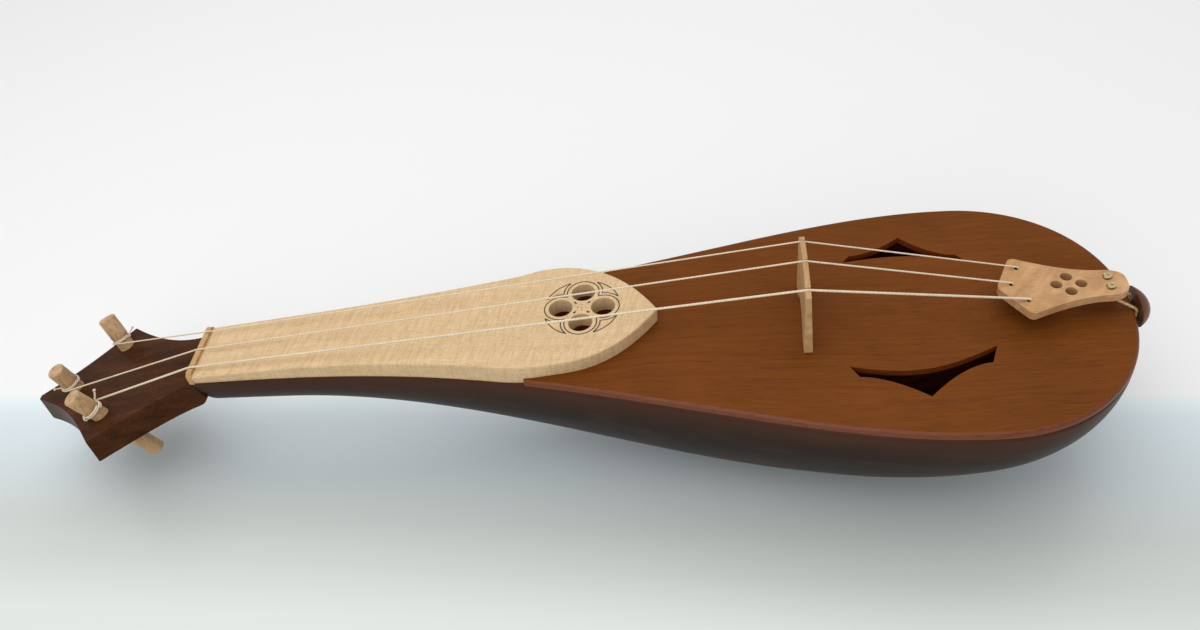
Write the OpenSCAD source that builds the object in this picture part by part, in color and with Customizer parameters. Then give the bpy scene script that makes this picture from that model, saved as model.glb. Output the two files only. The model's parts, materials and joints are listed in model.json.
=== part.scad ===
// Three-string rebec: a pear-shaped bowl and neck carved in dark wood, a flat
// soundboard, a pale deck along the neck, a tilted head board with three plain
// dowel pegs, a nut, a bridge, a tailpiece, gut strings and a tail lug.
// Millimetres. +X runs from the head to the tail, +Z is square to the soundboard,
// the origin is under the middle of the whole length at the lowest point of the bowl.

/* [Overall] */
// Sounding length of the strings, nut to bridge
scale_length = 330; // [310:1:350]
// Bridge to the tail end of the bowl
tail_length = 159; // [150:1:185]
// Greatest width of the bowl and the soundboard
body_width = 161; // [140:1:185]
// Depth of the bowl below the soundboard
bowl_depth = 76; // [64:1:86]
// Thickness of the carved bowl
wall = 5; // [4:0.5:7]
// Thickness of the soundboard
board_t = 3.5; // [2.5:0.1:4.5]

/* [Neck and deck] */
// Width of the neck at the nut
neck_width = 39; // [35:1:44]
// Depth of the neck below soundboard level, near the nut
neck_depth = 30; // [27:1:34]
// Nut to the pointed end of the deck
deck_length = 255; // [245:1:265]
// Nut to the front end of the soundboard, under the deck
board_start = 187; // [180:1:190]
// Height of the deck above the soundboard
deck_rise = 8.5; // [7:0.5:11]
// Drop of the deck top from the rosette to the nut
deck_drop = 13; // [9:0.5:16]
// Thickness of the deck at the nut
deck_t_nut = 5.5; // [4:0.5:7]
// Thickness of the nut along the strings
nut_t = 3; // [2:0.5:4]
// Height of the nut above the deck
nut_rise = 1.6; // [1:0.1:2.5]

/* [Rosette] */
// Nut to the middle of the rosette
rosette_x = 215; // [212:1:218]
// Offset of the rosette and the deck's wide end from the centre line, to the far side
rosette_y = 7; // [0:0.5:8]
// Distance of each of the four holes from the middle
rosette_r = 11.3; // [10:0.1:12]
// Diameter of each rosette hole
rosette_hole_d = 12.8; // [10:0.1:13.5]

/* [Head] */
// Length of the head board
head_length = 115; // [105:1:125]
// Far and near wing of the head: distance from the centre line
wing_w = [43.5, 47];
// Far and near wing of the head: distance from the nut, along the head
wing_s = [65, 57.5];
// Thickness of the head board
head_t = 17; // [15:0.5:22]
// Backward tilt of the head
head_tilt = 13; // [8:0.5:18]
// Lean of the glued joint between head and neck
scarf_lean = 24; // [10:1:30]

/* [Pegs] */
// Diameter of the peg above the winding
peg_d = 10; // [9.8:0.1:12]
// Diameter of the peg shank in the head
shank_d = 9.2; // [8.4:0.1:9.6]
// Length of the peg below the top face of the head
peg_below = 41; // [34:0.5:44]
// Gap between a peg and its hole, each side
peg_gap = 0.05; // [0.02:0.01:0.09]
// Far, middle and near peg: length above the head
peg_above = [20, 17.5, 19.5];
// Far, middle and near peg: distance along the head from the nut
peg_s = [65.5, 88.5, 57.5];
// Far, middle and near peg: distance from the centre line
peg_y = [29, 1, -27];
// Far, middle and near peg: lean back from square to the head, degrees
peg_lean = [8, 1, 11];
// Far, middle and near peg: lean to the side, degrees
peg_fan = [15, -6, -7];

/* [Bridge and tailpiece] */
// Height of the outer strings above the soundboard at the bridge
string_h = 36; // [30:0.5:40]
// Extra height of the middle string at the bridge
string_crown = 2.7; // [1:0.1:4]
// Distance between strings at the bridge
bridge_space = 18; // [15:0.5:20]
// Distance between strings at the nut
nut_space = 13.8; // [11:0.1:14.5]
// Width of the bridge across its feet
bridge_width = 50; // [46:1:54]
// Thickness of the bridge at its feet
bridge_foot_t = 4.4; // [3.5:0.1:6]
// Thickness of the bridge at its top
bridge_top_t = 2.6; // [2:0.1:3.4]
// Bridge to the front point of the tailpiece
tailpiece_x = 93; // [86:1:94]
// Length of the tailpiece
tailpiece_length = 61; // [56:1:62]
// Width of the tailpiece at its front corners
tailpiece_width = 40; // [38:1:46]
// Thickness of the tailpiece
tailpiece_t = 4.5; // [4:0.5:6]
// Height of the tailpiece top above the soundboard
tailpiece_h = 14.5; // [12:0.5:17]

/* [Strings and tail gut] */
// Diameter of the far, middle and near string
string_d = [0.8, 0.9, 1.2];
// Diameter of the tail gut
gut_d = 1.4; // [1.2:0.1:2.4]
// Radius of the tail lug
lug_r = 15; // [12:0.5:16]
// Tail lug beyond the end of the bowl
lug_reach = 8.5; // [5:0.5:10]

/* [Hidden] */
$fn = 48;
e = 0.01;
end_x = scale_length + tail_length;
belly_x = scale_length + 0.503 * tail_length;
keel_a = scale_length - 10;
keel_b = scale_length + 13;
keel_start = 50;
keel_power = 1.95;
tail_power = 2.1;
taper = 0.02;
section_power = 2.3;
head_z = deck_rise - deck_drop - deck_t_nut;
tip_x = -nut_t - head_length * cos(head_tilt);
lug_end = end_x + lug_reach;
mid_x = (tip_x + lug_end) / 2;
board_z = bowl_depth + board_t;
spatula_x = 190;
nut_string_z = deck_rise - deck_drop + nut_rise;
hole_d = 2.2;
hole_front = [12.2, 7.4, 13.2];
hole_side = [13, 1.6, -10.3];
gut_hole_back = 8.5;
gut_hole_y = 3.5;
gut_clear = 0.3;
lug_tenon = 9;
lug_neck_w = 8.6;
lug_neck_h = 6;
lug_round = 7;
lug_z = -3;
wind_turns = 2;
wind_base = 4;
wind_pitch = 0.92;
string_end_turn = [30, 215, 80];
string_end_reach = [3.4, 3, 4.4];
notch = 0.7;
swell = 0.2;

// A smooth step from 0 to 1
function smooth(t) = let(s = min(1, max(0, t))) s * s * (3 - 2 * s);

// Half width of the body at x, drawn in by o
function half_width(x, o = 0) = x <= belly_x
    ? let(t = max(0, x) / belly_x)
        neck_width / 2 - o + (body_width - neck_width) / 2 * smooth(pow(t, 1.45))
        + taper * belly_x * t * (1 - t)
    : (body_width / 2 - o) * round_off((x - belly_x) / (end_x - o - belly_x), tail_power);

// Falls from 1 to 0 as t goes from 0 to 1, like the quarter of a round end
function round_off(t, power) = pow(max(0, 1 - pow(t, power)), 1 / power);

// Depth of the bowl below the rim at x, drawn in by o
function bowl_deep(x, o = 0) = x <= keel_a
    ? neck_depth - o + (bowl_depth - neck_depth) * smooth((x - keel_start) / (keel_a - keel_start))
    : x <= keel_b ? bowl_depth - o
    : (bowl_depth - o) * round_off((x - keel_b) / (end_x - o - keel_b), keel_power);

// The sweep of the neck: 0 over the body, 1 at the nut
function sweep(x) = pow(max(0, (board_start - x) / board_start), 1.6);

function deck_top(x) = deck_rise - deck_drop * sweep(x);

function deck_under(x) = -board_t + (head_z + board_t) * sweep(x);

// How far the wide end of the deck lies to the far side of the centre line
function deck_shift(x) = 0.5 * rosette_y * smooth((x - board_start + 15) / 35);

// Half width of the deck at x, drawn in by o
function deck_half(x, o = 0) = x <= spatula_x
    ? half_width(x, o)
    : (half_width(spatula_x) - o)
        * (1 - pow((x - spatula_x) / (deck_length - o - spatula_x), 2.8));

// Rounded half section: from the far rim down round the keel and up to the near rim
function bowl_section(x, w, top, low, n) =
    [for (i = [0:n]) let(a = 180 * i / n, c = cos(a))
        [x, w * sign(c) * pow(abs(c), 2 / section_power),
         top - (top - low) * pow(abs(sin(a)), 2 / section_power)]];

// A closed solid through equal sections set one after another along X
module loft(sections) {
    m = len(sections[0]);
    n = len(sections);
    polyhedron(
        points = [for (s = sections) each s],
        faces = concat(
            [[for (j = [m - 1:-1:0]) j]],
            [[for (j = [0:m - 1]) (n - 1) * m + j]],
            [for (i = [0:n - 2], j = [0:m - 1]) let(k = (j + 1) % m)
                [i * m + k, (i + 1) * m + j, i * m + j]],
            [for (i = [0:n - 2], j = [0:m - 1]) let(k = (j + 1) % m)
                [i * m + k, (i + 1) * m + k, (i + 1) * m + j]]));
}

// A closed plate through rings that lie one above another.
// Each ring runs along the far side from front to back, then back along the near side.
module stack(rings) {
    m = len(rings[0]);
    n = len(rings);
    h = m / 2;
    polyhedron(
        points = [for (r = rings) each r],
        faces = concat(
            [for (i = [0:h - 2]) [i, m - 2 - i, i + 1]],
            [for (i = [0:h - 2]) [i, m - 1 - i, m - 2 - i]],
            [for (i = [0:h - 2]) let(b = (n - 1) * m) [b + i, b + i + 1, b + m - 2 - i]],
            [for (i = [0:h - 2]) let(b = (n - 1) * m) [b + i, b + m - 2 - i, b + m - 1 - i]],
            [for (q = [0:n - 2], j = [0:m - 1]) let(k = (j + 1) % m)
                [q * m + j, q * m + k, (q + 1) * m + j]],
            [for (q = [0:n - 2], j = [0:m - 1]) let(k = (j + 1) % m)
                [q * m + k, (q + 1) * m + k, (q + 1) * m + j]]));
}

// Everything is drawn from the nut and the soundboard top, then placed
module placed() {
    translate([-mid_x, 0, board_z]) children();
}

// A round rod from a to b
module rod(a, b, d) {
    v = b - a;
    l = norm(v);
    translate(a) rotate([0, acos(v[2] / l), atan2(v[1], v[0])]) cylinder(h = l, d = d);
}

// Round-bottomed groove that a string of diameter d lies in at point p
module string_notch(p, d) {
    translate(p - [nut_t + 2, 0, 0]) rotate([0, 90, 0]) cylinder(h = 2 * nut_t + 4, d = d + notch);
    translate(p + [-nut_t - 2, -(d + notch) / 2, 0]) cube([2 * nut_t + 4, d + notch, 4]);
}

module head_frame() {
    translate([-nut_t, 0, head_z]) rotate([0, -head_tilt, 0]) children();
}

// The space on the head side of the glued joint between head and neck
module head_side() {
    reach = 2 * head_length;
    translate([-nut_t, 0, head_z]) rotate([0, -scarf_lean, 0])
        translate([-reach, -reach / 2, -reach / 2]) cube(reach);
}

module bowl_and_neck() {
    n = 60;
    color("#3c2c26") placed() difference() {
        loft([for (i = [0:n]) let(
                f = i / n,
                x = -2 * nut_t + (end_x + 2 * nut_t - 0.05) * (1 - pow(1 - f, 1.7)))
            bowl_section(x, half_width(x), deck_under(x), -board_t - bowl_deep(x), 28)]);
        head_side();
        cavity();
        lug_neck(2, 1);
    }
}

module cavity() {
    n = 40;
    start = board_start + 6;
    front = 16;
    o = wall;
    stop = end_x - o - 0.2;
    loft([for (i = [0:n]) let(
            f = i / n,
            x = start + 0.4 + (stop - start - 0.4) * (1 - pow(1 - f, 1.8)),
            s = min(1, (x - start) / front),
            r = sqrt(1 - pow(1 - s, 2)))
        concat(
            [[x, half_width(x, o) * r, -board_t + 2]],
            bowl_section(x, half_width(x, o) * r, -board_t,
                         -board_t - bowl_deep(x, o) * (0.35 + 0.65 * r), 22),
            [[x, -half_width(x, o) * r, -board_t + 2]])]);
}

// The square neck of the lug, which is let into the rim of the bowl under the soundboard
module lug_neck(more_x, more_z) {
    translate([end_x - lug_tenon, -lug_neck_w / 2, -board_t - lug_neck_h])
        cube([lug_tenon + gut_way() + more_x, lug_neck_w, lug_neck_h + more_z]);
}

function lug_x() = lug_end - lug_r;

// Width of the slot between the end of the body and the knob, where the gut goes down
function gut_way() = gut_d + 2 * gut_clear;

module board_ring_stack() {
    n = 64;
    r = 2;
    rings = [for (k = [0:5]) let(
            a = k == 0 ? 0 : 90 * (k - 1) / 4,
            o = k == 0 ? 0 : r * (1 - cos(a)),
            z = k == 0 ? -board_t : -r + r * sin(a))
        concat(
            [for (i = [0:n]) let(x = board_x(i / n, o)) [x, half_width(x, o), z]],
            [for (i = [n:-1:0]) let(x = board_x(i / n, o)) [x, -half_width(x, o), z]])];
    stack(rings);
}

function board_x(f, o) = board_start + (end_x - o - 0.05 - board_start) * (1 - pow(1 - f, 1.8));

// A sound hole: curved inner side, peaked outer side, short slanted ends.
// y holds the distance from the centre line of the inner front tip, the inner rear tip,
// the two outer shoulders and the peak.
module sound_hole(y, bow, long) {
    front = scale_length + 19 + (71 - long) / 2;
    peak_x = 0.5 * long;
    n = 20;
    polygon(concat(
        [for (i = [0:n]) let(t = i / n)
            [front + long * t, y[0] + (y[1] - y[0]) * t + bow * sin(180 * t)]],
        [for (i = [0:n]) let(t = i / n)
            [front + long - 4 - (long - 4 - peak_x) * t, y[3] + (y[4] - y[3]) * pow(t, 1.7)]],
        [for (i = [1:n]) let(t = i / n)
            [front + peak_x - (peak_x - 4) * t, y[2] + (y[4] - y[2]) * pow(1 - t, 1.7)]]));
}

module sound_holes() {
    translate([0, 0, -10]) linear_extrude(20) sound_hole([40.5, 37.5, 45.5, 42, 58.5], 4, 63);
    mirror([0, 1, 0]) translate([0, 0, -10]) linear_extrude(20)
        sound_hole([35.5, 25.5, 42.5, 36.5, 56.6], 8.5, 71);
}

module rosette_holes() {
    for (a = [0:90:270])
        translate([rosette_x, rosette_y, -10]) rotate([0, 0, a]) translate([rosette_r, 0, 0])
            cylinder(h = 40, d = rosette_hole_d);
}

module soundboard() {
    color("#76421a") placed() difference() {
        board_ring_stack();
        sound_holes();
        rosette_holes();
    }
}

module deck() {
    n = 70;
    r = 1.2;
    color("#d7b482") placed() difference() {
        stack([for (k = [0:4]) let(
                a = k == 0 ? 0 : 30 * (k - 1),
                o = k == 0 ? 0.8 : r * (1 - cos(a)))
            concat(
                [for (i = [0:n]) deck_point(deck_x(i / n, o), o, k, r, a, 1)],
                [for (i = [n:-1:0]) deck_point(deck_x(i / n, o), o, k, r, a, -1)])]);
        rosette_holes();
        translate([board_start, -body_width / 2, -20])
            cube([body_width, body_width, 20]);
    }
}

function deck_x(f, o) = (deck_length - o - 0.2) * (1 - pow(1 - f, 1.3));

function deck_point(x, o, k, r, a, side) =
    [x, deck_shift(x) + side * deck_half(x, o), k == 0 ? deck_under(x) : deck_top(x) - r + r * sin(a)];

module nut() {
    z = deck_top(0);
    color("#c9a06c") placed() difference() {
        translate([-nut_t, 0, 0]) rotate([90, 0, 90]) linear_extrude(nut_t)
            polygon([[-neck_width / 2, head_z], [neck_width / 2, head_z],
                     [neck_width / 2, z + 0.4], [neck_width / 2 - 2, z + nut_rise + 0.4],
                     [-neck_width / 2 + 2, z + nut_rise + 0.4], [-neck_width / 2, z + 0.4]]);
        for (i = [0:2]) string_notch(nut_point(i), string_d[i]);
    }
}

// One side of the head seen from above, from the nut out to the wing and in to the tip.
// k is 0 for the far side and 1 for the near side, bow the power of the curve out to the wing,
// dip how far it falls in behind the nut, and cove the depth of the curve behind the wing.
function head_edge(k, bow, dip, cove) = let(
        w = neck_width / 2, h = wing_w[k], s = wing_s[k], n = 16, tip_r = 1.5)
    concat(
        [for (i = [0:n]) let(t = i / n)
            [-s * t, w + (h - w) * pow(t, bow) - dip * sin(180 * t) * (1 - t)]],
        [for (i = [1:n]) let(t = i / n)
            [-s - (head_length - s) * t, h + (tip_r - h) * t - cove * sin(180 * t)]]);

module head() {
    w = neck_width / 2;
    reach = 2 * head_length;
    heel_r = 9;
    heel_x = head_t * tan(scarf_lean - head_tilt);
    flat = cos(head_tilt);
    far = concat([[head_t, w]], head_edge(0, 1.9, 2.2, 3.5));
    near = concat([[head_t, w]], head_edge(1, 1.25, 0.4, 6));
    outline = concat([for (p = far) [p[0] * flat, p[1]]],
        [for (i = [len(near) - 1:-1:0]) [near[i][0] * flat, -near[i][1]]]);
    color("#50301c") placed() difference() {
        intersection() {
            head_side();
            translate([-nut_t, 0, head_z - reach / 2]) linear_extrude(reach) polygon(outline);
            head_frame() translate([-reach, -reach / 2, -head_t]) cube([2 * reach, reach, head_t]);
        }
        head_frame() {
            for (i = [0:2]) peg_hole(i);
            translate([heel_x - heel_r, 0, heel_r - head_t]) rotate([90, 0, 0])
                translate([0, 0, -reach / 2]) linear_extrude(reach) difference() {
                    translate([0, -2 * heel_r]) square([3 * heel_r, 2 * heel_r]);
                    circle(r = heel_r);
                }
        }
    }
}

module peg_axis(i) {
    translate([-peg_s[i], peg_y[i], 0]) rotate([0, -peg_lean[i], 0]) rotate([-peg_fan[i], 0, 0])
        children();
}

module peg_hole(i) {
    peg_axis(i) translate([0, 0, -2 * head_t])
        cylinder(h = 3 * head_t, d = shank_d + 2 * peg_gap);
}

module peg(i) {
    c = 0.7;
    step = wind_base + wind_turns * string_d[i] + 1;
    color("#c39b75") placed() head_frame() peg_axis(i) union() {
        translate([0, 0, step]) cylinder(h = peg_above[i] - step - c, d = peg_d);
        translate([0, 0, peg_above[i] - c - e])
            cylinder(h = c + e, d1 = peg_d, d2 = peg_d - 2 * c);
        translate([0, 0, -peg_below + c]) cylinder(h = peg_below + step - c + e, d = shank_d);
        translate([0, 0, -peg_below]) cylinder(h = c + e, d1 = shank_d - 2 * c, d2 = shank_d);
    }
}

// Coils of string laid side by side round the shank
module winding(i) {
    d = string_d[i];
    pitch = d * wind_pitch;
    color("#dcc8af") placed() head_frame() peg_axis(i) rotate_extrude()
        intersection() {
            union() {
                for (k = [0:wind_turns - 1])
                    translate([shank_d / 2 + d / 2 - 0.05, wind_base + d / 2 + k * pitch]) circle(d = d, $fn = 20);
            }
            translate([shank_d / 2 + 0.02, 0]) square([d, 20]);
        }
}

function wind_mid(i) = wind_base + string_d[i] * (0.5 + wind_pitch * (wind_turns - 1) / 2);

// The cut end of the string stands out from above the last coil, with a bead on it
module string_end(i) {
    d = string_d[i];
    coil_r = shank_d / 2 + d / 2;
    coil_z = wind_base + d * (0.5 + wind_pitch * (wind_turns - 1));
    apart = d + 0.05;
    r = coil_r + apart * cos(50);
    z = coil_z + apart * sin(50);
    reach = string_end_reach[i];
    color("#dcc8af") placed() head_frame() peg_axis(i) rotate([0, 0, string_end_turn[i]]) union() {
        rod([r, 0, z], [r + reach, 0, z + 0.55 * reach], d);
        translate([r + reach, 0, z + 0.55 * reach]) sphere(d = d + 0.8);
    }
}

// Three straight runs, each carried a little past its bends, and the drop into the tailpiece
module string_path(i) {
    d = string_d[i];
    a = nut_point(i);
    b = bridge_point(i);
    t = tail_point(i);
    low = [t[0], t[1], tailpiece_h - tailpiece_t - 3.2];
    union() {
        run(string_start(i), a, d, d / 5);
        run(a, b, d, d / 5);
        run(b, t, d, d / 5);
        run(low, t, d, d / 2);
    }
}

// A twelve-sided rod from a to b that goes past both ends by lap
module run(a, b, d, lap) {
    u = (b - a) / norm(b - a);
    rod(a - lap * u, b + lap * u, d, $fn = 12);
}

function nut_point(i) = [0.4 - nut_t, nut_space * (1 - i), nut_string_z + string_d[i] / 2];

function bridge_point(i) =
    [scale_length, bridge_space * (1 - i), string_h + (i == 1 ? string_crown : 0)];

function tail_point(i) =
    [scale_length + tailpiece_x + hole_front[i], hole_side[i], tailpiece_h + 0.4 + string_d[i] / 2];

// Where the string leaves its winding, on the side the string pulls from: at the height of
// the coils on the peg, turned with the peg's lean and fan and with the tilt of the head
function string_start(i) = let(
        side = i == 2 ? 1 : -1,
        h = wind_mid(i),
        r = shank_d / 2 + string_d[i] * 1.5 + 0.45,
        along = h * cos(peg_fan[i]) - side * r * sin(peg_fan[i]),
        x = -peg_s[i] - along * sin(peg_lean[i]),
        y = peg_y[i] + h * sin(peg_fan[i]) + side * r * cos(peg_fan[i]),
        z = along * cos(peg_lean[i]))
    [-nut_t + x * cos(head_tilt) - z * sin(head_tilt), y,
     head_z + x * sin(head_tilt) + z * cos(head_tilt)];

module gut_string(i) {
    color("#dcc8af") placed() string_path(i);
}

module bridge() {
    r = 62;
    top = string_h + string_crown + 0.6;
    foot = bridge_width / 2;
    arch_r = 17;
    color("#d9b98c") placed() translate([scale_length, 0, 0]) difference() {
        intersection() {
            translate([-10, 0, 0]) rotate([90, 0, 90]) linear_extrude(20) difference() {
                intersection() {
                    polygon([[-foot, 0], [foot, 0], [foot - 2.5, top], [-foot + 2.5, top]]);
                    translate([0, top - r]) circle(r = r, $fn = 180);
                }
                translate([0, -arch_r + 9]) circle(r = arch_r);
            }
            rotate([90, 0, 0]) translate([0, 0, -foot - 1]) linear_extrude(2 * foot + 2)
                polygon([[-bridge_foot_t / 2, 0], [bridge_foot_t / 2, 0],
                         [bridge_top_t / 2, top + 1], [-bridge_top_t / 2, top + 1]]);
        }
        translate([-scale_length, 0, 0])
            for (i = [0:2]) string_notch(bridge_point(i), string_d[i]);
    }
}

// Points of a round of radius r in place of the corner b between a and c
function rounded(a, b, c, r) = let(
        u = (a - b) / norm(a - b), v = (c - b) / norm(c - b),
        half = acos(u * v) / 2,
        m = b + (u + v) / norm(u + v) * r / sin(half),
        p = b + u * r / tan(half) - m, q = b + v * r / tan(half) - m,
        n = 6)
    [for (i = [0:n]) let(t = i / n, w = p * (1 - t) + q * t) m + w / norm(w) * r];

// One side of the tailpiece, from its front point past the shoulder to the middle of its tail
function tailpiece_side(shoulder, w, waist) = let(
        l = tailpiece_length, waist_x = l - 12, n = 14,
        curve = [for (i = [0:n]) let(t = i / n)
            [shoulder + (waist_x - shoulder) * t, waist + (w - waist) * pow(1 - t, 1.6)]])
    concat(
        rounded([0, 0], curve[0], curve[1], 3),
        [for (i = [2:n]) curve[i]],
        [for (i = [1:n]) let(a = 90 * i / n)
            [waist_x + 2 + (l - waist_x - 2) * sin(a), waist * pow(cos(a), 0.6)]]);

module tailpiece() {
    x0 = scale_length + tailpiece_x;
    far = tailpiece_side(9.8, tailpiece_width / 2 + 1.5, 8.8);
    near = tailpiece_side(13, tailpiece_width / 2, 9.2);
    front = rounded([near[0][0], -near[0][1]], [0, 0], far[0], 5);
    back = [for (i = [len(near) - 2:-1:0]) [near[i][0], -near[i][1]]];
    color("#d0a274") placed() difference() {
        translate([x0, 0, tailpiece_h - tailpiece_t]) linear_extrude(tailpiece_t)
            polygon(concat(front, far, back));
        for (i = [0:2])
            translate([tail_point(i)[0], tail_point(i)[1], 0]) cylinder(h = 30, d = hole_d);
        for (p = [[5.8, 0], [0, 5.2], [-5.8, 0], [0, -5.2]])
            translate([x0 + 33.8 + p[0], p[1], 0]) cylinder(h = 30, d = 5.6);
        for (s = [-1, 1])
            translate([gut_x(), s * gut_hole_y, 0]) cylinder(h = 30, d = gut_d + 0.8);
    }
}

function gut_x() = scale_length + tailpiece_x + tailpiece_length - gut_hole_back;

// A rounded knob on a narrow neck behind the end of the body
module tail_lug() {
    color("#3c2c26") placed() union() {
        lug_neck(2, 0);
        intersection() {
            translate([lug_x(), 0, lug_z]) rotate_extrude($fn = 96) union() {
                translate([lug_r - lug_round, 0]) circle(r = lug_round, $fn = 64);
                translate([0, -lug_round]) square([lug_r - lug_round, 2 * lug_round]);
            }
            translate([end_x + gut_way(), -lug_r, lug_z - lug_round - 1])
                cube([lug_r, 2 * lug_r, 2 * lug_round + 2]);
        }
    }
}

// The gut is knotted above the tailpiece, drops through it, goes over the end of the
// soundboard and down behind it, and passes under the neck of the lug
module tail_gut() {
    x = end_x + gut_clear + gut_d / 2;
    y = lug_neck_w / 2 + gut_clear + gut_d / 2;
    low = -board_t - lug_neck_h - gut_clear - gut_d / 2;
    color("#cdb083") placed() union() {
        for (s = [-1, 1]) {
            p = [gut_x(), s * gut_hole_y, tailpiece_h - tailpiece_t - 1.6];
            q = [x, s * y, 0];
            r = [x, s * y, low];
            rod(p, [p[0], p[1], tailpiece_h + 2.4], gut_d);
            translate(p) sphere(d = gut_d + swell);
            rod(p, q, gut_d);
            translate(q) sphere(d = gut_d + swell);
            rod(q, r, gut_d);
            translate(r) sphere(d = gut_d + swell);
        }
        rod([x, -y, low], [x, y, low], gut_d);
    }
}

module tail_gut_knot(s) {
    color("#cdb083") placed() translate([gut_x(), s * gut_hole_y, tailpiece_h + 0.75])
        rotate_extrude() difference() {
            translate([gut_d / 2 + 0.45, 0]) circle(d = 1.5, $fn = 20);
            translate([-e, -5]) square([gut_d / 2 + 0.05 + e, 10]);
        }
}

module string_knot(i) {
    d = string_d[i];
    t = tail_point(i);
    color("#dcc8af") placed() translate([t[0], t[1], tailpiece_h - tailpiece_t])
        rotate_extrude() difference() {
            for (z = [-0.8, -1.9]) translate([d / 2 + 0.7, z]) circle(d = 1.6, $fn = 20);
            translate([-e, -5]) square([d / 2 + 0.05 + e, 10]);
        }
}

bowl_and_neck();
head();
soundboard();
deck();
nut();
bridge();
tailpiece();
tail_lug();
tail_gut();
tail_gut_knot(1);  // tail_gut_knot_far
tail_gut_knot(-1);  // tail_gut_knot_near
peg(0);  // peg_far
peg(1);  // peg_middle
peg(2);  // peg_near
winding(0);  // winding_far
winding(1);  // winding_middle
winding(2);  // winding_near
string_end(0);  // string_end_far
string_end(1);  // string_end_middle
string_end(2);  // string_end_near
gut_string(0);  // string_far
gut_string(1);  // string_middle
gut_string(2);  // string_near
string_knot(0);  // string_knot_far
string_knot(1);  // string_knot_middle
string_knot(2);  // string_knot_near
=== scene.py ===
import json

import bpy
import numpy as np
from mathutils import Matrix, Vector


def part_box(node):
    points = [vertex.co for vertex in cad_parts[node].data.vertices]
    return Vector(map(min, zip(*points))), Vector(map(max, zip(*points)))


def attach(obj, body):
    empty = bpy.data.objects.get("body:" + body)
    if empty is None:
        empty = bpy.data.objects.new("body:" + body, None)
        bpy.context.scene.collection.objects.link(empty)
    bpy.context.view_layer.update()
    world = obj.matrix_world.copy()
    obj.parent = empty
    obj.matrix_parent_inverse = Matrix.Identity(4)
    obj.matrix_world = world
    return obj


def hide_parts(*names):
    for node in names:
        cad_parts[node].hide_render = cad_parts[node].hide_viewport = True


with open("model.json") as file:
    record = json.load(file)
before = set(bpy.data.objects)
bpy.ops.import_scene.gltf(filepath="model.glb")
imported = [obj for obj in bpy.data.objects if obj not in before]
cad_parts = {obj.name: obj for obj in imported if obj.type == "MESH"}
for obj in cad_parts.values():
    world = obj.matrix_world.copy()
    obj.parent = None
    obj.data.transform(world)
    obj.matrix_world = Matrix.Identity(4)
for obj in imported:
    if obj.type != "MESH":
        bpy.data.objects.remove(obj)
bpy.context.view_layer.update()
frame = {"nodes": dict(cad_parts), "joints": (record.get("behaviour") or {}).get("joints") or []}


# ---------------------------------------------------------------- Camera
# A short standard lens held above the near side of the instrument, turned a few degrees
# so that the neck runs up to the left and the tail lies to the right.
camera = bpy.data.objects.new("camera", bpy.data.cameras.new("camera"))
bpy.context.scene.collection.objects.link(camera)
bpy.context.scene.camera = camera
camera.data.sensor_width = 36.0
camera.data.lens = 31.5
camera.data.clip_start = 0.02
camera.data.clip_end = 20.0

camera_place = np.array((0.10552, -0.39000, 0.46413))
camera_back = np.array((0.1310, -0.7140, 0.6878))
camera_up = np.array((0.0486, 0.6975, 0.7149))
camera_back /= np.linalg.norm(camera_back)
camera_right = np.cross(camera_up, camera_back)
camera_right /= np.linalg.norm(camera_right)
camera_up = np.cross(camera_back, camera_right)
turned = np.eye(4)
turned[:3, 0], turned[:3, 1], turned[:3, 2] = camera_right, camera_up, camera_back
turned[:3, 3] = camera_place
camera.matrix_world = Matrix(turned.tolist())


# ---------------------------------------------------------------- Studio table and light
# A smooth pale table that is white at the back and cool grey in front, a dim even room, a
# large soft box straight above and a fill from the front. The table keeps the soft shadow.
def linear(colour, alpha=1.0):
    """'#RRGGBB' as linear light: each channel c / 255 through the sRGB curve."""
    c = np.array([int(colour[i:i + 2], 16) for i in (1, 3, 5)]) / 255
    c = np.where(c <= 0.04045, c / 12.92, ((c + 0.055) / 1.055) ** 2.4)
    return (*c.tolist(), alpha)


def node(tree, kind, settings=None, **links):
    """Adds a shader node. settings are its own properties; every other name is an input socket,
    given a value or, as (node, 'output'), a link. Spaces in socket names are written as _."""
    made = tree.nodes.new("ShaderNode" + kind)
    for key, value in (settings or {}).items():
        setattr(made, key, value)
    for key, value in links.items():
        number = key[1:].isdigit() and key[0] == "i"
        socket = made.inputs[int(key[1:]) if number else key.replace("_", " ")]
        if isinstance(value, tuple) and len(value) == 2 and isinstance(value[1], (str, int)):
            tree.links.new(value[0].outputs[value[1]], socket)
        else:
            socket.default_value = value
    return made


def new_material(name):
    """An empty node material: (material, its node tree, its output node)."""
    made = bpy.data.materials.new(name)
    made.use_nodes = True
    made.node_tree.nodes.clear()
    return made, made.node_tree, made.node_tree.nodes.new("ShaderNodeOutputMaterial")


def ramp(tree, factor, *stops):
    """A colour ramp through (position, colour) stops."""
    made = node(tree, "ValToRGB", None, Fac=factor)
    while len(made.color_ramp.elements) < len(stops):
        made.color_ramp.elements.new(0.5)
    for element, (place, colour) in zip(made.color_ramp.elements, stops):
        element.position = place
        element.color = colour if isinstance(colour, tuple) else linear(colour)
    return made


def table_point(across, down):
    """Where the line of sight at that part of the view, in half widths from its middle,
    meets the table."""
    half = camera.data.sensor_width / 2 / camera.data.lens
    sight = -camera_back + camera_right * across * half - camera_up * down * half
    return camera_place + sight * (-camera_place[2] / sight[2])


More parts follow.
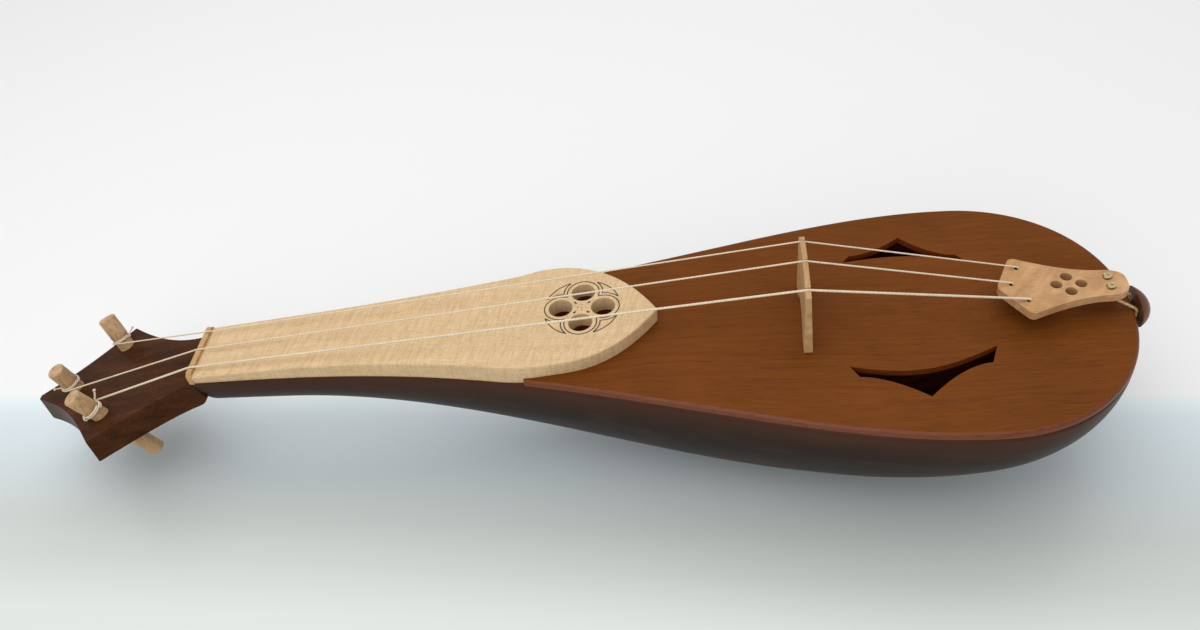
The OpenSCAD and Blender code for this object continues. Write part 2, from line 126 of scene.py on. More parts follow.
table_size = 6.0
table_mesh = bpy.data.meshes.new("table")
steps = np.linspace(-table_size, table_size, 13)
table_grid = np.stack(np.meshgrid(steps, steps, indexing="ij"), -1).reshape(-1, 2)
corner = (np.arange(12)[:, None] * 13 + np.arange(12)).ravel()
table_mesh.from_pydata(
    np.c_[table_grid, np.full(len(table_grid), -0.0004)].tolist(), [],
    np.stack([corner, corner + 13, corner + 14, corner + 1], -1).tolist())
table = bpy.data.objects.new("table", table_mesh)
bpy.context.scene.collection.objects.link(table)

left_mark, right_mark = table_point(-1, 0.13), table_point(1, 0.13)
front_mark = table_point(0, 0.52)
along = (right_mark - left_mark)[:2]
away = np.array((-along[1], along[0])) / np.linalg.norm(along)
depth = float(abs((front_mark - left_mark)[:2] @ away))

pale_table, tree, out = new_material("smooth_pale_table")
place = node(tree, "TexCoord")
shifted = node(tree, "VectorMath", {"operation": "SUBTRACT"}, i0=(place, "Object"),
               i1=tuple(left_mark.tolist()))
away_by = node(tree, "VectorMath", {"operation": "DOT_PRODUCT"}, i0=(shifted, "Vector"),
               i1=(-away[0] / depth, -away[1] / depth, 0.0))
shade = ramp(tree, (away_by, "Value"), (0.0, "#F3F3F3"), (0.05, "#E4EFF2"), (0.12, "#DAE5EA"),
             (0.36, "#D0D9DC"), (0.62, "#C9CFCC"), (0.8, "#CDD3CE"), (1.0, "#DBE1DD"))
lit = node(tree, "BsdfPrincipled", None, Base_Color=(shade, "Color"), Roughness=0.35)
tree.links.new(lit.outputs["BSDF"], out.inputs["Surface"])
table_mesh.materials.append(pale_table)

room = bpy.data.worlds.new("white_room")
bpy.context.scene.world = room
room.use_nodes = True
room.node_tree.nodes["Background"].inputs["Color"].default_value = linear("#F3F3F3")
room.node_tree.nodes["Background"].inputs["Strength"].default_value = 0.67

for name, energy, size, stand, aim in (
        ("soft_box", 12.4, 2.0, (-0.15, 0.1, 1.35), (0.0, 0.0, 0.05)),
        ("front_fill", 6.2, 1.2, (-0.3, -1.5, 0.9), (0.0, 0.0, 0.05))):
    lamp = bpy.data.lights.new(name, "AREA")
    lamp.energy = energy
    lamp.size = size
    held = bpy.data.objects.new(name, lamp)
    bpy.context.scene.collection.objects.link(held)
    to = np.array(aim) - np.array(stand)
    back = -to / np.linalg.norm(to)
    side = np.cross((0, 1, 0), back)
    side /= np.linalg.norm(side)
    turned = np.eye(4)
    turned[:3, 0], turned[:3, 1], turned[:3, 2] = side, np.cross(back, side), back
    turned[:3, 3] = stand
    held.matrix_world = Matrix(turned.tolist())

bpy.context.scene.view_settings.view_transform = "Standard"


# ---------------------------------------------------------------- Bowl and neck
# One piece of hardwood, hollowed like a spoon and carved down into the neck. It is stained
# nearly black-brown and rubbed to a soft gloss, so the light catches only its turns.
nut_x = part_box("nut")[1].x
board_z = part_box("soundboard")[1].z
tail_end = 489.0
belly_x = 410.0
neck_half, belly_half = 19.5, 80.5


def placed(points):
    """Millimetres from the nut and the top of the soundboard, as metres in the row's frame."""
    return np.asarray(points, float) / 1000 + (nut_x, 0, board_z)


def smooth(t):
    """3 t^2 - 2 t^3, held at 0 and 1 outside."""
    t = np.clip(t, 0, 1)
    return t * t * (3 - 2 * t)


def round_off(t, power):
    """(1 - t^power)^(1 / power): from 1 down to 0 like a quarter of a round end."""
    return (1 - np.clip(t, 0, 1) ** power) ** (1 / power)


def half_width(x):
    """Half width of the body: a smooth step from the neck to the belly, then a round tail."""
    t = np.clip(x / belly_x, 0, 1)
    rise = (neck_half + (belly_half - neck_half) * smooth(t ** 1.45)
            + 0.02 * belly_x * t * (1 - t))
    return np.where(x <= belly_x, rise,
                    belly_half * round_off((x - belly_x) / (tail_end - belly_x), 2.1))


def sweep(x):
    """((187 - x) / 187)^1.6: 1 at the nut and 0 over the body."""
    return np.clip((187 - x) / 187, 0, None) ** 1.6


def piece(name, points, faces, material, body="instrument", lengthwise=None):
    """A mesh from an array of points and lists of faces, which rides on a body. lengthwise is
    its UV map: (along, round) at each corner of each face."""
    mesh = bpy.data.meshes.new(name)
    mesh.from_pydata(np.asarray(points).reshape(-1, 3).tolist(), [],
                     faces if isinstance(faces, list) else faces.tolist())
    mesh.polygons.foreach_set("use_smooth", np.ones(len(mesh.polygons), bool))
    if lengthwise is not None:
        layer = mesh.uv_layers.new(name="lengthwise")
        layer.data.foreach_set("uv", np.asarray(lengthwise, np.float32).ravel())
    mesh.materials.append(material)
    made = bpy.data.objects.new(name, mesh)
    bpy.context.scene.collection.objects.link(made)
    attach(made, body)
    return made


def grid_faces(rows, columns, round_rows=False, round_columns=False):
    """The four-sided faces of a grid of points, joined round where that is asked."""
    i = np.arange(rows if round_rows else rows - 1)[:, None]
    j = np.arange(columns if round_columns else columns - 1)[None, :]
    k, l = (i + 1) % rows, (j + 1) % columns
    return np.stack([i * columns + j, k * columns + j, k * columns + l, i * columns + l],
                    -1).reshape(-1, 4)


def wood(name, dark, mid, light, streak=(5, 260, 260), pore=(90, 1500, 1500), pore_depth=0.5,
         gloss=0.4, shine=0.3, bump=0.06, figure=None, turn=0.0, rim=None, rise=None,
         holes=None):
    """Planed wood along X: long streaks of three tones, short dark pores in line with them,
    and a little relief from the pores. figure is (strength, scale) of a ripple across the grain,
    which lies at turn degrees to it. rim is (tone, shine) of edges that turn down from the
    top, rise (low, high, tone) of wood that changes to that tone between two heights, and
    holes the tone of painted shade laid, through ambient occlusion, into narrow holes."""
    made, tree, out = new_material(name)
    place = node(tree, "TexCoord")
    bend = node(tree, "TexNoise", None, Vector=(place, "Object"), Scale=7.0, Detail=2.0)
    bent = node(tree, "MixRGB", {"blend_type": "LINEAR_LIGHT"}, Fac=0.012,
                Color1=(place, "Object"), Color2=(bend, "Color"))
    long_way = node(tree, "Mapping", None, Vector=(bent, "Color"), Scale=streak)
    bands = node(tree, "TexNoise", None, Vector=(long_way, "Vector"), Scale=1.0, Detail=6.0,
                 Roughness=0.62)
    tone = ramp(tree, (bands, "Fac"), (0.3, dark), (0.5, mid), (0.72, light))
    short_way = node(tree, "Mapping", None, Vector=(bent, "Color"), Scale=pore)
    dashes = node(tree, "TexNoise", None, Vector=(short_way, "Vector"), Scale=1.0, Detail=2.0)
    pores = ramp(tree, (dashes, "Fac"), (0.34, "#000000"), (0.46, "#FFFFFF"))
    shade = node(tree, "MixRGB", {"blend_type": "MULTIPLY"}, Fac=pore_depth,
                 Color1=(tone, "Color"), Color2=(pores, "Color"))
    if figure:
        strength, scale = figure
        across = node(tree, "Mapping", {"vector_type": "TEXTURE"}, Vector=(place, "Object"),
                      Rotation=(0.0, 0.0, np.radians(turn)), Scale=[1 / k for k in scale])
        ripple = node(tree, "TexNoise", None, Vector=(across, "Vector"), Scale=1.0, Detail=3.0)
        light_dark = ramp(tree, (ripple, "Fac"), (0.35, "#A8A8A8"), (0.65, "#FFFFFF"))
        shade = node(tree, "MixRGB", {"blend_type": "MULTIPLY"}, Fac=strength,
                     Color1=(shade, "Color"), Color2=(light_dark, "Color"))
    if rise:
        height = node(tree, "SeparateXYZ", None, Vector=(place, "Object"))
        upper = node(tree, "MapRange", {"interpolation_type": "SMOOTHSTEP"},
                     Value=(height, "Z"), From_Min=rise[0], From_Max=rise[1])
        shade = node(tree, "MixRGB", None, Fac=(upper, "Result"), Color1=(shade, "Color"),
                     Color2=linear(rise[2]))
    # Edges that turn down from the top are coloured with the rim tone, with the pores pressed in
    # deeper, and get the rim shine.
    if rim:
        facing = node(tree, "NewGeometry")
        up = node(tree, "SeparateXYZ", None, Vector=(facing, "Normal"))
        edge = ramp(tree, (up, "Z"), (0.93, "#FFFFFF"), (0.99, "#000000"))
        edge_tone = node(tree, "MixRGB", {"blend_type": "MULTIPLY"}, Fac=0.35, Color1=linear(rim[0]),
                    Color2=(pores, "Color"))
        shade = node(tree, "MixRGB", None, Fac=(edge, "Color"), Color1=(shade, "Color"),
                     Color2=(edge_tone, "Color"))
        level = node(tree, "MapRange", None, Value=(edge, "Color"), To_Min=shine, To_Max=rim[1])
        shine = (level, "Result")
    # Painted shade: where ambient occlusion finds the wood closed in, as in holes and narrow gaps,
    # its colour is darkened toward the holes tone.
    if holes:
        open_sky = node(tree, "AmbientOcclusion", {"samples": 12}, Distance=0.005)
        level = node(tree, "MapRange", None, Value=(open_sky, "AO"), From_Min=0.35,
                     From_Max=0.75)
        shade = node(tree, "MixRGB", None, Fac=(level, "Result"), Color1=linear(holes),
                     Color2=(shade, "Color"))
    relief = node(tree, "Bump", None, Height=(dashes, "Fac"), Strength=bump, Distance=0.0004)
    rough = node(tree, "MapRange", None, Value=(bands, "Fac"), To_Min=gloss - 0.05,
                 To_Max=gloss + 0.08)
    lit = node(tree, "BsdfPrincipled", None, Base_Color=(shade, "Color"),
               Roughness=(rough, "Result"), Normal=(relief, "Normal"),
               Specular_IOR_Level=shine, IOR=1.5)
    tree.links.new(lit.outputs["BSDF"], out.inputs["Surface"])
    return made


# Nearly black stain over open-grained hardwood: faint brown streaks under a soft gloss
stained_dark_wood = wood("dark_stained_hardwood", "#19110E", "#251A15", "#402B20",
                         streak=(9, 120, 120), pore_depth=0.3, gloss=0.34, shine=0.1,
                         rise=(0.05, 0.079, "#46291B"))

rows, columns = 220, 97
roundness = 2.3
nut_t, joint_side, joint_lean = 3.0, 23.5, np.radians(24)
swells_from, deep_from, deep_to = 50.0, 320.0, 343.0
neck_deep, bowl_deep = 30.0, 76.0
board_t, neck_drop = 3.5, 6.5
f = np.linspace(0, 1, rows)[:, None]
angle = np.linspace(0, np.pi, columns)[None, :]
up_down = np.abs(np.sin(angle)) ** (2 / roundness)
across = np.sign(np.cos(angle)) * np.abs(np.cos(angle)) ** (2 / roundness)
joint_x = -nut_t + joint_side * up_down * np.tan(joint_lean)
x = joint_x + (tail_end - joint_x) * (1 - (1 - f) ** 1.8)
under = np.clip((x - swells_from) / (deep_from - swells_from), 0, 1)
deep = np.where(x <= deep_from, neck_deep + (bowl_deep - neck_deep) * smooth(under),
                bowl_deep * round_off((x - deep_to) / (tail_end - deep_to), 1.95))
top = -board_t - neck_drop * sweep(x)
bowl_points = np.stack([x, half_width(x) * across,
                        top - (top + board_t + deep) * up_down], -1)
bowl = piece("carved_bowl_and_neck", placed(bowl_points), grid_faces(rows, columns),
             stained_dark_wood)
shell = bowl.modifiers.new("wall", "SOLIDIFY")
shell.thickness = 0.0048
shell.offset = -1
bowl.data.materials.append(wood("bare_gouged_hardwood", "#5E2A16", "#74361E", "#8A4528",
                                gloss=0.8, shine=0.0))
shell.material_offset = 1
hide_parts("bowl_and_neck")


# ---------------------------------------------------------------- Soundboard
# A thin flat board with its edge rounded over and two sound holes cut with a fretsaw.
# It is stained red-brown under a satin varnish, with fine dark grain along its length.
def dressed(name, material, edge=0.0, angle=32):
    """Gives a part as cut its finish: loose triangles joined, flat faces made whole, edges
    eased by a small round of that radius in millimetres, and its own wood."""
    cut = frame["nodes"][name]
    cut.modifiers.new("join", "WELD").merge_threshold = 2e-6
    whole = cut.modifiers.new("flats", "DECIMATE")
    whole.decimate_type = "DISSOLVE"
    whole.angle_limit = np.radians(0.6)
    if edge:
        eased = cut.modifiers.new("eased_edges", "BEVEL")
        eased.width = edge / 1000
        eased.segments = 3
        eased.limit_method = "ANGLE"
        eased.angle_limit = np.radians(angle)
    split = cut.modifiers.new("corners", "EDGE_SPLIT")
    split.split_angle = np.radians(angle)
    cut.modifiers.new("even_shade", "WEIGHTED_NORMAL")
    cut.data.polygons.foreach_set("use_smooth", np.ones(len(cut.data.polygons), bool))
    cut.data.materials.clear()
    cut.data.materials.append(material)
    return cut


board_wood = wood("varnished_red_brown_soundboard", "#6C3B15", "#733F16", "#7B4518",
                  streak=(6, 520, 520), pore=(80, 1500, 1500), pore_depth=0.2, gloss=0.34,
                  shine=0.05, bump=0.05, figure=(0.22, (22, 22, 22)), rim=("#6E3410", 0.35))
dressed("soundboard", board_wood)


# ---------------------------------------------------------------- Deck
# The maple fingerboard that swells into a rounded, pointed plate over the soundboard.
# It is left pale and unvarnished, with fine ripple and tiny flecks across the grain.
pale_maple = wood("scraped_pale_maple", "#D9B88B", "#DEBE93", "#E3C59C",
                  streak=(7, 260, 260), pore=(260, 1500, 1500), pore_depth=0.16, gloss=0.5,
                  shine=0.12, bump=0.04, figure=(0.24, (700, 90, 90)), turn=-8.0)
dressed("deck", pale_maple)


# ---------------------------------------------------------------- Nut
# A thin strip of a slightly browner wood, glued across the end of the deck and filed with
# three small notches.
nut_wood = wood("light_brown_nut", "#A9804F", "#C09A66", "#CFAC7C", gloss=0.45,
                pore_depth=0.2)
dressed("nut", nut_wood, edge=0.4)


# ---------------------------------------------------------------- Head
# A board of the same dark wood, tilted back and glued to the neck on a leaning joint, with
# two wings and a pointed tip. Its edges are eased, and the light picks them out.
head_wood = wood("dark_stained_head_board", "#331C0C", "#452612", "#553219",
                 streak=(8, 150, 150), pore_depth=0.35, gloss=0.36, shine=0.05)
dressed("head", head_wood, edge=0.8)


# ---------------------------------------------------------------- Bridge
# A thin arched bar of pale hardwood that stands on two feet and is held by the strings.
bridge_wood = wood("scraped_bridge_wood", "#AC8354", "#BF986B", "#CDAB80",
                   streak=(200, 9, 200), pore=(1300, 120, 1300), pore_depth=0.2, gloss=0.5,
                   shine=0.15)
dressed("bridge", bridge_wood, edge=0.9)


# ---------------------------------------------------------------- Tailpiece
# A kite-shaped maple plate with softened edges, three small string holes, a cross of four
# round holes and two holes for the tail gut.
# Its holes tone #4A2814 is painted shade, laid on the walls of its holes and in other narrow places
# where the light does not reach.
tail_maple = wood("oiled_tailpiece_maple_painted_hole_shade", "#BB8A57", "#C8996A", "#D5AB7F",
                  streak=(60, 60, 60), pore=(160, 1300, 1300), pore_depth=0.15, gloss=0.4,
                  shine=0.2, figure=(0.3, (300, 40, 300)), turn=-35.0, holes="#4A2814")
dressed("tailpiece", tail_maple, edge=1.4)


# ---------------------------------------------------------------- Tail lug
# A rounded knob of stained wood on a square neck, which is let into the rim of the bowl.
lug_wood = wood("red_brown_stained_lug", "#4A2915", "#643A1E", "#774A28",
                streak=(200, 20, 200), pore_depth=0.3, gloss=0.3, shine=0.3)
dressed("tail_lug", lug_wood)


# ---------------------------------------------------------------- Rosette lines
# The drawing round the four holes, burnt into the maple with a hot point: three quarters of
# a ring round each hole, a small curved triangle in each gap, and a cross of dots between.
burnt, tree, out = new_material("burnt_line_in_maple")
place = node(tree, "TexCoord")
speckle = node(tree, "TexNoise", None, Vector=(place, "Object"), Scale=1400.0, Detail=2.0)
char = ramp(tree, (speckle, "Fac"), (0.35, "#241B18"), (0.7, "#57463B"))
lit = node(tree, "BsdfPrincipled", None, Base_Color=(char, "Color"), Roughness=0.8)
tree.links.new(lit.outputs["BSDF"], out.inputs["Surface"])

deck_top_mm = (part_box("deck")[1].z - board_z) * 1000
rosette_middle = np.array((215.0, 7.0))
hole_apart, ring_r, spandrel_r, rim_r = 11.3, 8.6, 10.4, 20.3
line_width, line_rise = 0.62, 0.03


def arc(centre, radius, start, stop, count=24):
    """Points at centre + radius (cos a, sin a), a from start to stop in degrees."""
    a = np.radians(np.linspace(start, stop, count))
    return np.asarray(centre) + radius * np.stack([np.cos(a), np.sin(a)], -1)


def turned_by(points, degrees):
    """Each (x, y) turned about the middle of the rosette."""
    c, s = np.cos(np.radians(degrees)), np.sin(np.radians(degrees))
    return points @ np.array(((c, s), (-s, c)))


def ribbon(path, width, closed=False):
    """A flat line: the path moved half a width to each side along its normal, with its top
    just above the wood and its edges let into it."""
    ahead = np.roll(path, -1, 0) - np.roll(path, 1, 0)
    if not closed:
        ahead[0], ahead[-1] = path[1] - path[0], path[-1] - path[-2]
    normal = np.stack([-ahead[:, 1], ahead[:, 0]], -1)
    normal *= width / 2 / np.linalg.norm(normal, axis=1, keepdims=True)
    left, right = path + normal, path - normal
    low, high = deck_top_mm - 0.1, deck_top_mm + line_rise
    ring = [np.c_[p, np.full(len(p), h)] for p, h in
            ((right, low), (right, high), (left, high), (left, low))]
    return np.stack(ring, 1), grid_faces(len(path), 4, round_rows=closed, round_columns=True)


def joined(parts):
    """Several (points, faces) as one, with the later faces' numbers moved on."""
    points, faces, count = [], [], 0
    for p, q in parts:
        p = np.asarray(p).reshape(-1, 3)
        points.append(p)
        faces += [[n + count for n in face] for face in np.asarray(q).tolist()]
        count += len(p)
    return np.concatenate(points), faces


lines = []
for quarter in (0, 90, 180, 270):
    hole = (hole_apart, 0.0)
    for start, stop in ((-110, 110), (149, 161), (199, 211)):
        lines.append(ribbon(rosette_middle + turned_by(
            arc(hole, ring_r, start, stop, 40 if start < 0 else 5), quarter), line_width))
    triangle = np.concatenate([
        arc((0, 0), rim_r, 21, 69, 14)[:-1],
        arc((0, hole_apart), spandrel_r, 48.5, -4.5, 14)[:-1],
        arc(hole, spandrel_r, 94.5, 41.5, 14)[:-1]])
    lines.append(ribbon(rosette_middle + turned_by(triangle, quarter), line_width, closed=True))
for x, y in ((0, 0), (2.3, 0), (-2.3, 0), (0, 2.1), (0, -2.1)):
    lines.append(ribbon(rosette_middle + arc((x, y), 0.16, 0, 330, 12), 0.3, closed=True))
rosette_points, rosette_faces = joined(lines)
piece("burnt_rosette_lines", placed(rosette_points), rosette_faces, burnt)


# ---------------------------------------------------------------- Pegs
# Three plain pegs turned from a pale dowel, with flat ends softened by sanding. Each is pushed
# from the back through a round hole in the head and is a little thinner below its winding.
peg_wood = wood("sanded_beech_peg", "#AA845E", "#C09A72", "#CFAC85", streak=(230, 230, 16),
                pore=(900, 900, 70), pore_depth=0.3, gloss=0.55, bump=0.08)
peg_names = ("far", "middle", "near")
peg_r, shank_r, peg_below = 5.0, 4.6, 41.0
peg_above = (20.0, 17.5, 19.5)
string_d = (0.8, 0.9, 1.2)
wind_base, wind_turns = 4.0, 2


def lathe(profile, sides=64):
    """Each (radius, height) of the profile carried round the axis."""
    a = np.linspace(0, 2 * np.pi, sides, endpoint=False)[None, :]
    radius, height = np.asarray(profile, float).T[..., None]
    points = np.stack([radius * np.cos(a), radius * np.sin(a), height + 0 * a], -1)
    return points, grid_faces(len(profile), sides, round_columns=True)


def peg_axes(joint):
    """Origin and the three directions of a peg: toward the tail, toward the far side, along."""
    up = np.array(joint["axis"], float)
    up /= np.linalg.norm(up)
    toward = np.cross((0, 1, 0), up)
    toward /= np.linalg.norm(toward)
    return np.array(joint["pos_m"], float), np.stack([toward, np.cross(up, toward), up])


def on_peg(points, joint):
    """Millimetres in the peg's own directions, as metres in the row's frame."""
    origin, axes = peg_axes(joint)
    return np.asarray(points) / 1000 @ axes + origin


pegs = {name: next(j for j in frame["joints"] if j["child"] == "tuning_peg_" + name)
        for name in peg_names}
for name, above, d in zip(peg_names, peg_above, string_d):
    soft = np.radians(np.linspace(0, 90, 6))
    step = wind_base + wind_turns * d + 1
    low = [(shank_r - 1 + np.sin(a), -peg_below + 1 - np.cos(a)) for a in soft]
    top = [(peg_r - 1 + np.cos(a), above - 1 + np.sin(a)) for a in soft]
    neck = [(shank_r, z) for z in np.linspace(-peg_below + 3, step - 0.3, 12)]
    body = [(peg_r, z) for z in np.linspace(step + 0.3, above - 2, 8)]
    profile = np.array([(0.001, low[0][1]), (shank_r - 2, low[0][1]), *low, *neck, *body, *top,
                        (peg_r - 2, above), (0.001, above)])
    points, faces = lathe(profile)
    wobble = 1 + 0.006 * np.sin(2 * np.arctan2(points[..., 1], points[..., 0]) + points[..., 2])
    points[..., :2] *= wobble[..., None]
    turned_peg = piece("dowel_peg_" + name, on_peg(points, pegs[name]), faces, peg_wood,
                       body="tuning_peg_" + name)
    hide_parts("peg_" + name)


# ---------------------------------------------------------------- Strings
# Three strings of twisted sheep gut. Each is knotted under the tailpiece, comes up through
# its hole, runs over the bridge and the nut, and is wound twice round its peg.
def gut(name, dark, light, twists):
    """Twisted gut: a spiral stripe from sin(2 pi (along + round)), cloudy and a little clear."""
    made, tree, out = new_material(name)
    place = node(tree, "TexCoord")
    split = node(tree, "SeparateXYZ", None, Vector=(place, "UV"))
    along = node(tree, "Math", {"operation": "MULTIPLY"}, i0=(split, "X"), i1=twists)
    spiral = node(tree, "Math", {"operation": "ADD"}, i0=(along, "Value"), i1=(split, "Y"))
    angle = node(tree, "Math", {"operation": "MULTIPLY"}, i0=(spiral, "Value"),
                 i1=2 * np.pi)
    wave = node(tree, "Math", {"operation": "SINE"}, i0=(angle, "Value"))
    cloud = node(tree, "TexNoise", None, Vector=(place, "Object"), Scale=180.0, Detail=3.0)
    level = node(tree, "MapRange", None, Value=(wave, "Value"), From_Min=-1.0, To_Min=0.3,
                 To_Max=0.5)
    mixed = node(tree, "Math", {"operation": "MULTIPLY_ADD"}, i0=(cloud, "Fac"), i1=0.5,
                 i2=(level, "Result"))
    tone = ramp(tree, (mixed, "Value"), (0.35, dark), (0.85, light))
    relief = node(tree, "Bump", None, Height=(wave, "Value"), Strength=0.15, Distance=0.0001)
    lit = node(tree, "BsdfPrincipled", None, Base_Color=(tone, "Color"), Roughness=0.38,
               Normal=(relief, "Normal"), IOR=1.5, Coat_Weight=0.2)
    tree.links.new(lit.outputs["BSDF"], out.inputs["Surface"])
    return made


def rounded_path(corners, reach=1.2):
    """The corners joined by straight runs, each bend a curve (1-t)^2 a + 2t(1-t) b + t^2 c
    from a little before the corner to a little after it."""
    t = np.linspace(0, 1, 6)[:, None]
    path = [corners[:1]]
    for a, b, c in zip(corners[:-2], corners[1:-1], corners[2:]):
        near, far = a - b, c - b
        near *= min(reach, np.linalg.norm(near) * 0.45) / np.linalg.norm(near)
        far *= min(reach, np.linalg.norm(far) * 0.45) / np.linalg.norm(far)
        path.append((1 - t) ** 2 * (b + near) + 2 * t * (1 - t) * b + t ** 2 * (b + far))
    return np.concatenate([*path, corners[-1:]])


def tube(path, d, sides=14, upright=(0.3, 0.0, 1.0)):
    """A round cord of diameter d carried along the path, closed at both ends:
    (points, faces, UV map). It stands square to the path at every point."""
    ahead = np.gradient(path, axis=0)
    ahead /= np.linalg.norm(ahead, axis=1, keepdims=True)
    normal = np.asarray(upright) - ahead * (ahead @ np.asarray(upright))[:, None]
    normal /= np.linalg.norm(normal, axis=1, keepdims=True)
    beside = np.cross(ahead, normal)
    a = np.linspace(0, 2 * np.pi, sides, endpoint=False)
    points = path[:, None] + d / 2 * (normal[:, None] * np.cos(a)[:, None]
                                      + beside[:, None] * np.sin(a)[:, None])
    faces = grid_faces(len(path), sides, round_columns=True)
    run = np.r_[0, np.cumsum(np.linalg.norm(np.diff(path, axis=0), axis=1))]
    i, j = np.divmod(np.arange(len(faces)), sides)
    u = run[np.stack([i, i + 1, i + 1, i], -1)]
    v = np.stack([j, j, j + 1, j + 1], -1) / sides
    around = np.stack([u, v], -1)[:, ::-1].reshape(-1, 2)
    last = len(path) * sides - 1
    ends = [list(range(sides)), list(range(last, last - sides, -1))]
    return (points, faces[:, ::-1].tolist() + ends,
            np.concatenate([around, np.zeros((2 * sides, 2))]))


pale_gut = gut("twisted_pale_gut", "#C9B394", "#E6D8BF", 0.45)

bridge_x = (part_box("bridge")[0].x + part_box("bridge")[1].x) / 2 * 1000 - nut_x * 1000
tailpiece_top = (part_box("tailpiece")[1].z - board_z) * 1000
tailpiece_front = (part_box("tailpiece")[0].x - nut_x) * 1000
tailpiece_t, hole_front, hole_side = 4.5, (12.2, 7.4, 13.2), (13.0, 1.6, -10.3)
nut_space, nut_string_z = 13.8, -2.9
bridge_space, bridge_top, bridge_crown = 18, 36, (0, 2.7, 0)
for k, name in enumerate(peg_names):
    d, joint = string_d[k], pegs[name]
    pitch = d * 0.92
    r = shank_r + d / 2 + 0.03
    turn = np.radians(np.linspace(0, 360 * wind_turns, 40 * wind_turns))
    coil = np.stack([r * np.cos(turn), r * np.sin(turn),
                     wind_base + d / 2 + pitch * (turn / (2 * np.pi) - 0.5)], -1)
    coil_points, coil_faces, coil_uv = tube(coil, d, 10, upright=(0, 0, 1))
    winding = piece("string_winding_" + name, on_peg(coil_points, joint), coil_faces, pale_gut,
                    body="tuning_peg_" + name, lengthwise=coil_uv)
    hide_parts("winding_" + name)

    side = 1 if name == "near" else -1
    leave = np.radians(np.linspace(side * 250, side * 95, 16))
    outer = shank_r + 1.5 * d + 0.12
    wrap = np.stack([outer * np.cos(leave), outer * np.sin(leave),
                     np.full(16, wind_base + d / 2 + pitch / 2)], -1)
    at_nut = placed((-2.6, nut_space * (1 - k), nut_string_z + d / 2))
    at_bridge = placed((bridge_x, bridge_space * (1 - k), bridge_top + bridge_crown[k]))
    hole_x = tailpiece_front + hole_front[k]
    at_hole = placed((hole_x, hole_side[k], tailpiece_top + 0.4 + d / 2))
    under_it = placed((hole_x, hole_side[k], tailpiece_top - tailpiece_t - 3.1))
    corners = np.stack([on_peg(wrap[-1:], joint)[0], at_nut, at_bridge, at_hole, under_it])
    path = np.concatenate([on_peg(wrap[:-1], joint), rounded_path(corners, reach=0.0012)])
    points, faces, uv = tube(path * 1000, d, 14)
    strung = piece("gut_string_" + name, points / 1000, faces, pale_gut,
                   lengthwise=uv)
    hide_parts("string_" + name)


# ---------------------------------------------------------------- String ends
# The cut end of each string is tucked through its peg and sticks out by a few millimetres,
# with a bead of melted gut that keeps it from slipping back.
for k, (name, towards, reach) in enumerate(zip(peg_names, (30, 215, 80), (3.4, 3.0, 4.4))):
    d, joint = string_d[k], pegs[name]
    a, t = np.radians(towards), np.linspace(0, 1, 8)
    out_by = shank_r + 1.14 * d + reach * t
    rise = wind_base + 2.19 * d + 0.55 * reach * t ** 1.4
    end = np.stack([out_by * np.cos(a), out_by * np.sin(a), rise], -1)
    points, faces, uv = tube(end, d * 0.9, 10, upright=(0, 0, 1))
    bead_r = d / 2 + 0.4
    bead, bead_faces = lathe([(bead_r * np.sin(t) + 1e-4, -0.85 * bead_r * np.cos(t))
                              for t in np.linspace(0, np.pi, 9)], 14)
    count = points.reshape(-1, 3).shape[0]
    points = np.concatenate([points.reshape(-1, 3), bead.reshape(-1, 3) + end[-1]])
    faces = faces + [[n + count for n in face] for face in bead_faces.tolist()]
    uv = np.concatenate([uv, np.zeros((bead_faces.size, 2))])
    tuft = piece("cut_string_end_" + name, on_peg(points, joint), faces, pale_gut,
                 body="tuning_peg_" + name, lengthwise=uv)
    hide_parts("string_end_" + name)


# ---------------------------------------------------------------- String knots
# Under the tailpiece each string is held by a small knot of two turns, pulled up against it.
for k, name in enumerate(peg_names):
    d = string_d[k]
    turn = np.radians(np.linspace(0, 720, 60))
    r = d / 2 + 0.75
    knot = np.stack([tailpiece_front + hole_front[k] + r * np.cos(turn),
                     hole_side[k] + r * np.sin(turn),
                     tailpiece_top - tailpiece_t - 0.85 - 1.1 * turn / (4 * np.pi)], -1)
    points, faces, uv = tube(knot, 1.4, 10, upright=(0, 0, 1))
    tied = piece("knot_under_tailpiece_" + name, placed(points), faces, pale_gut,
                 lengthwise=uv)
    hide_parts("string_knot_" + name)
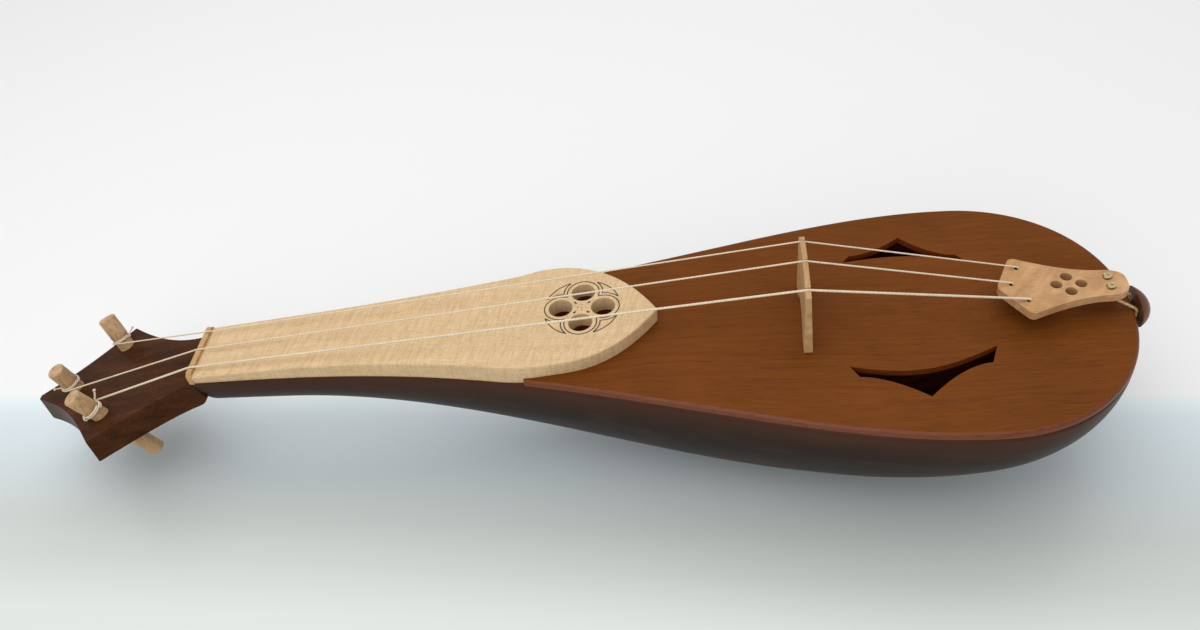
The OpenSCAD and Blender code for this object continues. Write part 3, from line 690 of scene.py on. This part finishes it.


# ---------------------------------------------------------------- Tail gut
# A loop of slightly thicker, yellower gut, knotted above the tailpiece. It drops through two holes,
# goes over the end of the soundboard and passes under the neck of the lug.
# The paler tone is the gut's own yellow. The darker tone is deeper than the gut itself: painted
# shade for the strand that lies in shadow by the lug, and the knots share it.
amber_gut = gut("thick_amber_gut", "#8C7048", "#D2BE8C", 0.3)
gut_d, gut_hole_y, gut_y = 1.4, 3.5, 5.3
gut_x = (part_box("tailpiece")[1].x - nut_x) * 1000 - 8.5
behind, under_neck = tail_end + 1.0, -10.5
half = np.array([(gut_x, gut_hole_y, tailpiece_top + 2.2), (gut_x, gut_hole_y, 8.4),
                 (behind, gut_y, 0.0), (behind, gut_y, under_neck), (behind, 0.0, under_neck)])
half = rounded_path(half, 1.6)
path = np.concatenate([half, half[-2::-1] * (1, -1, 1)])
turns = np.diff(path, axis=0)
path = path[np.r_[True, np.linalg.norm(turns, axis=1) > 1e-6]]
points, faces, uv = tube(path, gut_d, 16, upright=(0.9, 0.02, 0.43))
looped = piece("tail_gut_loop", placed(points), faces, amber_gut, lengthwise=uv)
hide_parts("tail_gut")

for name, side in (("far", 1), ("near", -1)):
    t = np.linspace(0, 2 * np.pi, 90, endpoint=False)
    knot = np.stack([gut_x + (1.2 + 0.45 * np.cos(3 * t)) * np.cos(2 * t),
                     side * gut_hole_y + (1.2 + 0.45 * np.cos(3 * t)) * np.sin(2 * t),
                     tailpiece_top + 1.0 + 0.4 * np.sin(3 * t)], -1)
    ahead = np.roll(knot, -1, 0) - np.roll(knot, 1, 0)
    ahead /= np.linalg.norm(ahead, axis=1, keepdims=True)
    normal = np.array((0, 0, 1.0)) - ahead * ahead[:, 2:3]
    normal /= np.linalg.norm(normal, axis=1, keepdims=True)
    a = np.linspace(0, 2 * np.pi, 10, endpoint=False)[:, None]
    ring = (knot[:, None] + 0.6 * (normal[:, None] * np.cos(a)
                                    + np.cross(ahead, normal)[:, None] * np.sin(a)))
    faces = grid_faces(90, 10, round_rows=True, round_columns=True)[:, ::-1]
    tied = piece("knot_on_tailpiece_" + name, placed(ring), faces, amber_gut,
                 lengthwise=np.zeros((faces.size, 2)))
    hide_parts("tail_gut_knot_" + name)
